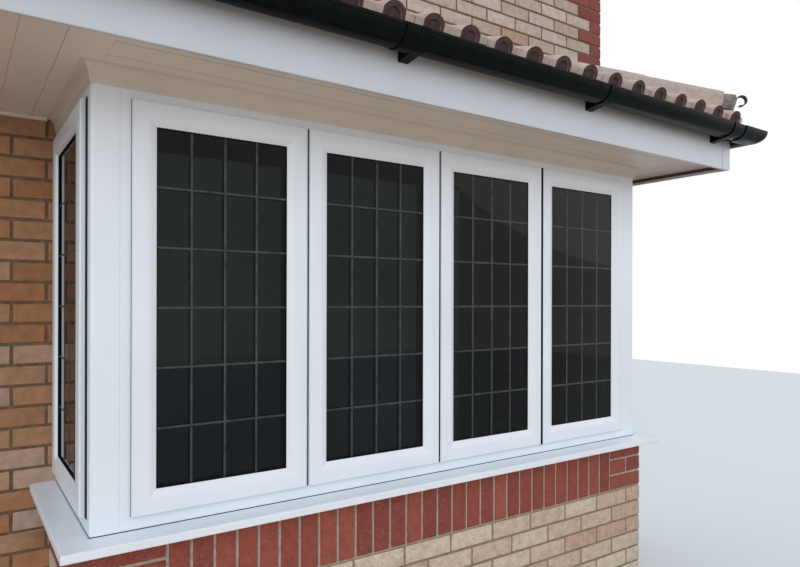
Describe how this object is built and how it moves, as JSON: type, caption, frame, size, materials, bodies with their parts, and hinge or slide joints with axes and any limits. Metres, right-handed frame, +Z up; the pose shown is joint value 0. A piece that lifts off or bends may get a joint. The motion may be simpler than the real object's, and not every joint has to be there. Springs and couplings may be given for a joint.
{
  "type": "bay window",
  "caption": "Square bay window of leaded casements over a brick base, under a hipped tiled lean-to roof with gutters, with the house wall it stands against.",
  "frame": {"origin": "on the ground, on the plane of the house wall's outer face, at the middle of the bay", "axes": "+X along the house wall to the right seen from outside, +Y into the room, +Z up"},
  "size_m": [3.86, 1.4075, 3.6],
  "materials": {
    "base_brick": "matte buff brick with grey-brown mortar",
    "soldier_brick": "matte red brick with light buff mortar",
    "house_brick": "matte orange-buff brick with grey mortar",
    "concrete": "plain smooth concrete",
    "upvc": "satin white plastic profile",
    "clear_glass": "clear sealed glass unit with lead strips",
    "painted_board": "white painted board",
    "soffit_board": "grooved white plastic board",
    "fascia_board": "satin white plastic board",
    "plaster": "smooth emulsioned plaster",
    "timber": "sawn softwood",
    "roof_tile": "dark brown sanded concrete tile",
    "hip_tile": "brown sanded concrete hip tile with mortar",
    "lead": "dull grey lead sheet",
    "gutter_plastic": "glossy black plastic",
    "brass": "polished brass",
    "black_iron": "black painted iron"
  },
  "bodies": {
    "root": {"base_wall_front": "base_brick", "base_wall_left": "base_brick", "base_wall_right": "base_brick", "soldier_course_front": "soldier_brick", "soldier_course_left": "soldier_brick", "soldier_course_right": "soldier_brick", "bay_floor": "concrete", "house_wall_left": "house_brick", "house_wall_right": "house_brick", "house_wall_upper": "house_brick", "opening_lintel": "concrete", "sill_front": "upvc", "side_sills": "upvc", "window_board_front": "painted_board", "side_window_boards": "painted_board", "front_frame": "upvc", "left_frame": "upvc", "right_frame": "upvc", "front_sash_1": "upvc", "front_sash_2": "upvc", "front_sash_3": "upvc", "front_sash_4": "upvc", "left_sash": "upvc", "right_sash": "upvc", "front_glass": "clear_glass", "side_glass": "clear_glass", "window_handles": "brass", "corner_posts": "upvc", "head_beam_front": "timber", "side_head_beams": "timber", "head_trim_front": "upvc", "side_head_trims": "upvc", "bay_ceiling": "plaster", "wall_beads": "upvc", "soffit_front": "soffit_board", "side_soffits": "soffit_board", "fascia_front": "fascia_board", "side_fascias": "fascia_board", "fascia_corner_trims": "fascia_board", "roof_slope_front": "roof_tile", "roof_slope_left": "roof_tile", "roof_slope_right": "roof_tile", "hip_tiles": "hip_tile", "hip_irons": "black_iron", "wall_flashing": "lead", "gutter_front": "gutter_plastic", "side_gutters": "gutter_plastic", "gutter_brackets": "gutter_plastic"}
  },
  "joints": []
}
